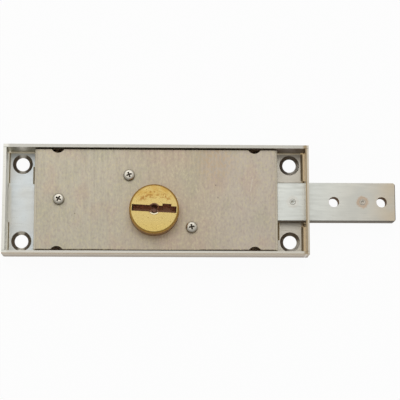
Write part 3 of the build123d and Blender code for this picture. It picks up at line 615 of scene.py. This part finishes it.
def cover_finish():
    """Matt plating with faint upright grain, broad pink and green tints, one scratch and a few specks."""
    plate = Finish("matt_cover_plating")
    colour = plate.mix(plate.step(plate.x, -0.035, 0.012), tint(197, 189, 170), tint(194, 180, 158))
    colour = plate.mix(plate.step(plate.x, 0.015, 0.045), colour, tint(199, 188, 172))
    broad = plate.grain(0.014, stretch=(1, 0.8, 1))
    colour = plate.mix(plate.step(broad, 0.50, 0.68, 0.0, 0.4), colour, tint(198, 174, 156))
    colour = plate.mix(plate.step(broad, 0.48, 0.32, 0.0, 0.4), colour, tint(184, 180, 156))
    upright = plate.grain(0.0011, stretch=(1, 0.12, 1), detail=5)
    colour = plate.mix(plate.step(upright, 0.46, 0.30, 0.0, 0.30), colour, tint(168, 156, 134))
    colour = plate.mix(plate.step(upright, 0.56, 0.72, 0.0, 0.22), colour, tint(206, 198, 178))

    # Edges: painted light towards the folds, and painted shade along the cut flanks and the lower edge.
    from_middle = plate.math("ABSOLUTE", plate.x)
    # Painted light towards the folds.
    light_near_fold = plate.step(from_middle, cover_high[0] - 0.0020, cover_high[0] - 0.0008, 0.0, 0.55)
    colour = plate.mix(light_near_fold, colour, tint(216, 206, 184))
    # Painted shade along the cut flanks and the lower edge, in the gaps beside the walls.
    flank = plate.step(plate.math("ABSOLUTE", plate.y), cover_high[1] - 0.0003, cover_high[1] - 0.0001)
    flank = plate.product(flank, plate.step(plate.z, cover_high[2] - 0.00005, cover_high[2] - 0.0002))
    colour = plate.mix(plate.product(flank, 0.85), colour, tint(96, 82, 64))
    lower_edge_shade = plate.step(plate.y, cover_low[1] + 0.00050, cover_low[1] + 0.00030)
    towards_ends = plate.step(from_middle, 0.020, 0.024, 0.3, 0.85)
    colour = plate.mix(plate.product(lower_edge_shade, towards_ends), colour, tint(104, 90, 72))

    # Specks, fine grain, a brown stain near the upper edge and three dots.
    specks = plate.step(plate.grain(0.0009, detail=2), 0.25, 0.20, 0.0, 0.6)
    colour = plate.mix(specks, colour, tint(120, 106, 88))
    fine = plate.grain(0.0010, stretch=(1, 0.6, 1), detail=5)
    colour = plate.mix(plate.step(fine, 0.50, 0.66, 0.0, 0.58), colour, tint(214, 203, 172))
    colour = plate.mix(plate.step(fine, 0.49, 0.32, 0.0, 0.42), colour, tint(168, 152, 142))
    stain = plate.step(plate.away(0.030, 0.020), 0.016, 0.003, 0.0, 0.35)
    colour = plate.mix(plate.product(stain, plate.step(fine, 0.4, 0.6)), colour, tint(192, 158, 128))
    for x, y in ((-0.0411, -0.0073), (0.0313, 0.0011), (0.0302, 0.0075)):
        dot = plate.step(plate.away(x, y), 0.0005, 0.0002, 0.0, 0.6)
        colour = plate.mix(dot, colour, tint(120, 106, 96))

    # The scratch: a short line that leans a little off the upright.
    scratch_x, scratch_y, lean = 0.0471, 0.0077, 0.17
    leaning_x = plate.math("SUBTRACT", plate.x, plate.product(plate.y, lean))
    width = plate.step(plate.off(leaning_x, scratch_x), 0.0003, 0.0001)
    length = plate.step(plate.off(plate.y, scratch_y), 0.0037, 0.0028, 0.0, 0.6)
    colour = plate.mix(plate.product(width, length), colour, tint(222, 214, 196))

    # The outside of both folds: a painted highlight where they catch the light.
    bend = plate.step(from_middle, cover_high[0] - 0.0013, cover_high[0] - 0.0007)
    bend = plate.product(bend, plate.step(plate.z, cover_high[2] - 0.0030, cover_high[2] - 0.0016))
    colour = plate.mix(plate.product(bend, 0.9), colour, tint(248, 238, 216))
    metallic = plate.math("SUBTRACT", 1.0, plate.product(bend, 0.7))
    relief = plate.math("ADD", upright, plate.product(fine, 0.6))
    roughness = plate.step(relief, 0.5, 1.1, 0.42, 0.56)
    return plate.close(colour, roughness, relief, depth=0.00003, metallic=metallic)


dress("cover_plate", cover_finish(), 0.00012)

# Cover screws.
# Three M3 pan-head screws of bright zinc-plated steel, with cross recesses. They run through the cover into
# the posts, and the right-hand two also through the housing.

screw_nodes = ("cover_screw_left", "cover_screw_upper", "cover_screw_lower")
screw_boxes = [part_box(name) for name in screw_nodes]
screw_places = [((low[0] + high[0]) / 2, (low[1] + high[1]) / 2) for low, high in screw_boxes]
screw_top = screw_boxes[0][1][2]
head_height = 0.0022


def screw_finish():
    """Bright plating, with painted shade: darker low on the head, and dark in the recess."""
    zinc = Finish("bright_zinc_screw")
    film = zinc.grain(0.0012)
    colour = zinc.mix(zinc.step(film, 0.35, 0.7, 0.0, 0.5), tint(206, 200, 187), tint(182, 175, 158))
    # Painted shade low on the head.
    shade_low_on_head = zinc.step(zinc.z, screw_top - 0.0006, screw_top - 0.0011, 0.0, 0.9)
    colour = zinc.mix(shade_low_on_head, colour, tint(96, 88, 73))
    away = [zinc.away(*place) for place in screw_places]
    from_axis = zinc.math("MINIMUM", zinc.math("MINIMUM", away[0], away[1]), away[2])
    sunk = zinc.step(zinc.z, screw_top - 0.00012, screw_top - 0.00022)
    # Painted shade in the cross recess.
    recess_shade = zinc.product(zinc.step(from_axis, 0.0018, 0.0017), sunk)
    colour = zinc.mix(recess_shade, colour, tint(58, 50, 40))
    return zinc.close(colour, zinc.step(film, 0.3, 0.7, 0.22, 0.36), film, depth=0.00001)


def pan_head_screws():
    """Screws with a lathed crown, a tapered cross cut in it, and a shank whose radius follows the helix."""
    sizes = {"Head radius": 0.00295, "Head height": head_height}
    sizes |= {"Thread radius": 0.00145, "Thread depth": 0.00027, "Pitch": 0.0005, "Shank length": 0.0085}
    sizes |= {"Recess span": 0.0035, "Recess width": 0.00098, "Recess depth": 0.0013, "Recess taper": 0.35}
    tree, given = new_tree("pan_head_screws", sizes)
    crown_rows, shank_rows = 12, 68
    crown_flatness, crown_fullness = 7.0, 0.32

    def crown(turn, way):
        row = product(tree, way, crown_rows)
        rise = calc(tree, "MAXIMUM", calc(tree, "SUBTRACT", row, 1.0), 0.0)
        swing = calc(tree, "COSINE", product(tree, rise, pi / 2 / (crown_rows - 1)))
        radius = product(tree, given["Head radius"], calc(tree, "MINIMUM", row, 1.0))
        fall = calc(tree, "POWER", calc(tree, "MINIMUM", swing, 1.0), crown_flatness)
        rounding = calc(tree, "POWER", calc(tree, "SUBTRACT", 1.0, fall), crown_fullness)
        height = product(tree, given["Head height"], rounding)
        return product(tree, radius, calc(tree, "MAXIMUM", swing, 0.0)), height

    def thread(turn, way):
        height = product(tree, calc(tree, "SUBTRACT", way, 1.0), given["Shank length"])
        phase = calc(tree, "SUBTRACT", calc(tree, "DIVIDE", height, given["Pitch"]), turn)
        groove = product(tree, calc(tree, "PINGPONG", phase, 0.5), 2.0, given["Thread depth"])
        end = calc(tree, "MINIMUM", product(tree, way, shank_rows), 1.0)
        return product(tree, calc(tree, "SUBTRACT", given["Thread radius"], groove), end), height

    deep = product(tree, given["Recess depth"], 2.0)
    span = {0: given["Recess span"], 1: given["Recess width"], 2: deep}
    blade = add_node(tree, "GeometryNodeMeshCube", {"Size": add_node(tree, "ShaderNodeCombineXYZ", span)})
    corner = add_node(tree, "GeometryNodeInputPosition")
    level = add_node(tree, "ShaderNodeSeparateXYZ", {0: corner}).outputs[2]
    narrow = product(tree, calc(tree, "LESS_THAN", level, 0.0), given["Recess taper"])
    narrow = calc(tree, "SUBTRACT", 1.0, narrow)
    scale = add_node(tree, "ShaderNodeCombineXYZ", {0: narrow, 1: narrow, 2: 1.0})
    pulled = add_node(tree, "ShaderNodeVectorMath", {0: corner, 1: scale}, operation="MULTIPLY")
    blade = add_node(tree, "GeometryNodeSetPosition", {"Geometry": blade, "Position": pulled})
    top = add_node(tree, "ShaderNodeCombineXYZ", {2: given["Head height"]})
    head = lathe(tree, 40, crown_rows, crown)
    for angle in (0.0, pi / 2):
        setting = {"Geometry": blade, "Translation": top, "Rotation": (0.0, 0.0, angle)}
        cut = {"Mesh 1": head, "Mesh 2": add_node(tree, "GeometryNodeTransform", setting)}
        head = add_node(tree, "GeometryNodeMeshBoolean", cut, operation="DIFFERENCE", solver="EXACT")
    whole = add_node(tree, "GeometryNodeJoinGeometry", {0: head})
    tree.links.new(lathe(tree, 20, shank_rows, thread), whole.inputs[0])
    at_each_place(tree, given, whole, radians(35))
    return tree


seat = screw_top - head_height
turns = [radians(angle) for angle in (-30, 20, 12)]
places = [(x, y, seat) for x, y in screw_places]
screws = grown("cover_screws", pan_head_screws(), places, turns, screw_finish())
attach(screws, "case")
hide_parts(*screw_nodes)

# Studio.
# A white paper sweep under the lock and one large soft light above its long upper wall. The world lights the
# rest, brighter from that same side, and the camera looks nearly square on.


def white_floor():
    """Paper that is white to the camera and in reflections. Under the case, apart from the fixing holes, it
    is plain brown where the slots show it, a painted shadow, and cream or brown in reflections, a painted
    reflection."""
    material = bpy.data.materials.new("white_sweep")
    material.use_nodes = True
    tree = material.node_tree
    tree.nodes.clear()
    ray = add_node(tree, "ShaderNodeLightPath").outputs
    place = add_node(tree, "ShaderNodeTexCoord").outputs["Object"]
    x, y, _ = add_node(tree, "ShaderNodeSeparateXYZ", {0: place}).outputs
    margin, hole_view = 0.0012, 0.0046
    outside_x = calc(tree, "GREATER_THAN", calc(tree, "ABSOLUTE", x), case_high[0] - margin)
    outside_y = calc(tree, "GREATER_THAN", calc(tree, "ABSOLUTE", y), case_high[1] - margin)
    in_hole = calc(tree, "LESS_THAN", nearest_hole(tree, x, y)[0], hole_view)
    white = calc(tree, "MAXIMUM", calc(tree, "MAXIMUM", outside_x, outside_y), in_hole)

    # Painted shadow: brown paper under the case, seen through the slots.
    paper_and_painted_shadow = mixed(tree, white, (0.42, 0.34, 0.22, 1), (0.86, 0.86, 0.85, 1))
    on_right = calc(tree, "GREATER_THAN", x, 0.0)
    # Painted reflection: under the case the paper shows cream or brown to glossy rays.
    mirrored_under = mixed(tree, on_right, (1.0, 0.98, 0.88, 1), (0.72, 0.58, 0.38, 1))
    glow = mixed(tree, white, mirrored_under, (1, 1, 1, 1))
    clear = add_node(tree, "ShaderNodeEmission", {"Color": glow, "Strength": 1.0})
    paper = add_node(tree, "ShaderNodeBsdfDiffuse", {"Color": paper_and_painted_shadow})
    in_mirror = calc(tree, "MAXIMUM", ray["Is Glossy Ray"], ray["Is Transmission Ray"])
    seen = calc(tree, "MAXIMUM", product(tree, ray["Is Camera Ray"], white), in_mirror)
    without_shadow = product(tree, seen, 0.95)
    blend = add_node(tree, "ShaderNodeMixShader", {0: without_shadow, 1: paper, 2: clear})
    add_node(tree, "ShaderNodeOutputMaterial", {0: blend})
    return material


half, level = 3.0, cad_low[2] - 0.0002
corners = [(-half, -half, level), (half, -half, level), (half, half, level), (-half, half, level)]
sheet = bpy.data.meshes.new("floor")
sheet.from_pydata(corners, [], [(0, 1, 2, 3)])
sheet.materials.append(white_floor())
floor = put_in_scene("floor", sheet)

world = bpy.data.worlds.new("studio")
world.use_nodes = True
bpy.context.scene.world = world
sky = world.node_tree
sky.nodes.clear()
facing = add_node(sky, "ShaderNodeTexCoord").outputs["Generated"]
upwards = add_node(sky, "ShaderNodeSeparateXYZ", {0: facing}).outputs[1]
rise = {"Value": upwards, "From Min": -0.9, "From Max": 0.35, "To Min": 0.36, "To Max": 0.66}
rise = add_node(sky, "ShaderNodeMapRange", rise, interpolation_type="SMOOTHSTEP")
light = add_node(sky, "ShaderNodeBackground", {"Color": (1, 1, 1, 1), "Strength": rise})
add_node(sky, "ShaderNodeOutputWorld", {0: light})

key = bpy.data.lights.new("key", "AREA")
key.size = 0.6
key.energy = 1.15
soft_box = put_in_scene("key", key)
soft_box.location = (-0.07, 0.40, 0.80)
soft_box.rotation_euler = (-soft_box.location).to_track_quat("-Z", "Y").to_euler()

lens = bpy.data.cameras.new("camera")
lens.lens = 129.5
lens.sensor_width = 36
camera = put_in_scene("camera", lens)
camera.location = (1.5 * MM, -121.5 * MM, 731.7 * MM)
aim = Vector((22.14 * MM, -0.5 * MM, 15.0 * MM))
back = (camera.location - aim).normalized()
right = Vector((0, 1, 0)).cross(back).normalized()
camera.rotation_euler = Matrix((right, back.cross(right), back)).transposed().to_euler()
bpy.context.scene.camera = camera
bpy.context.scene.view_settings.view_transform = "Standard"
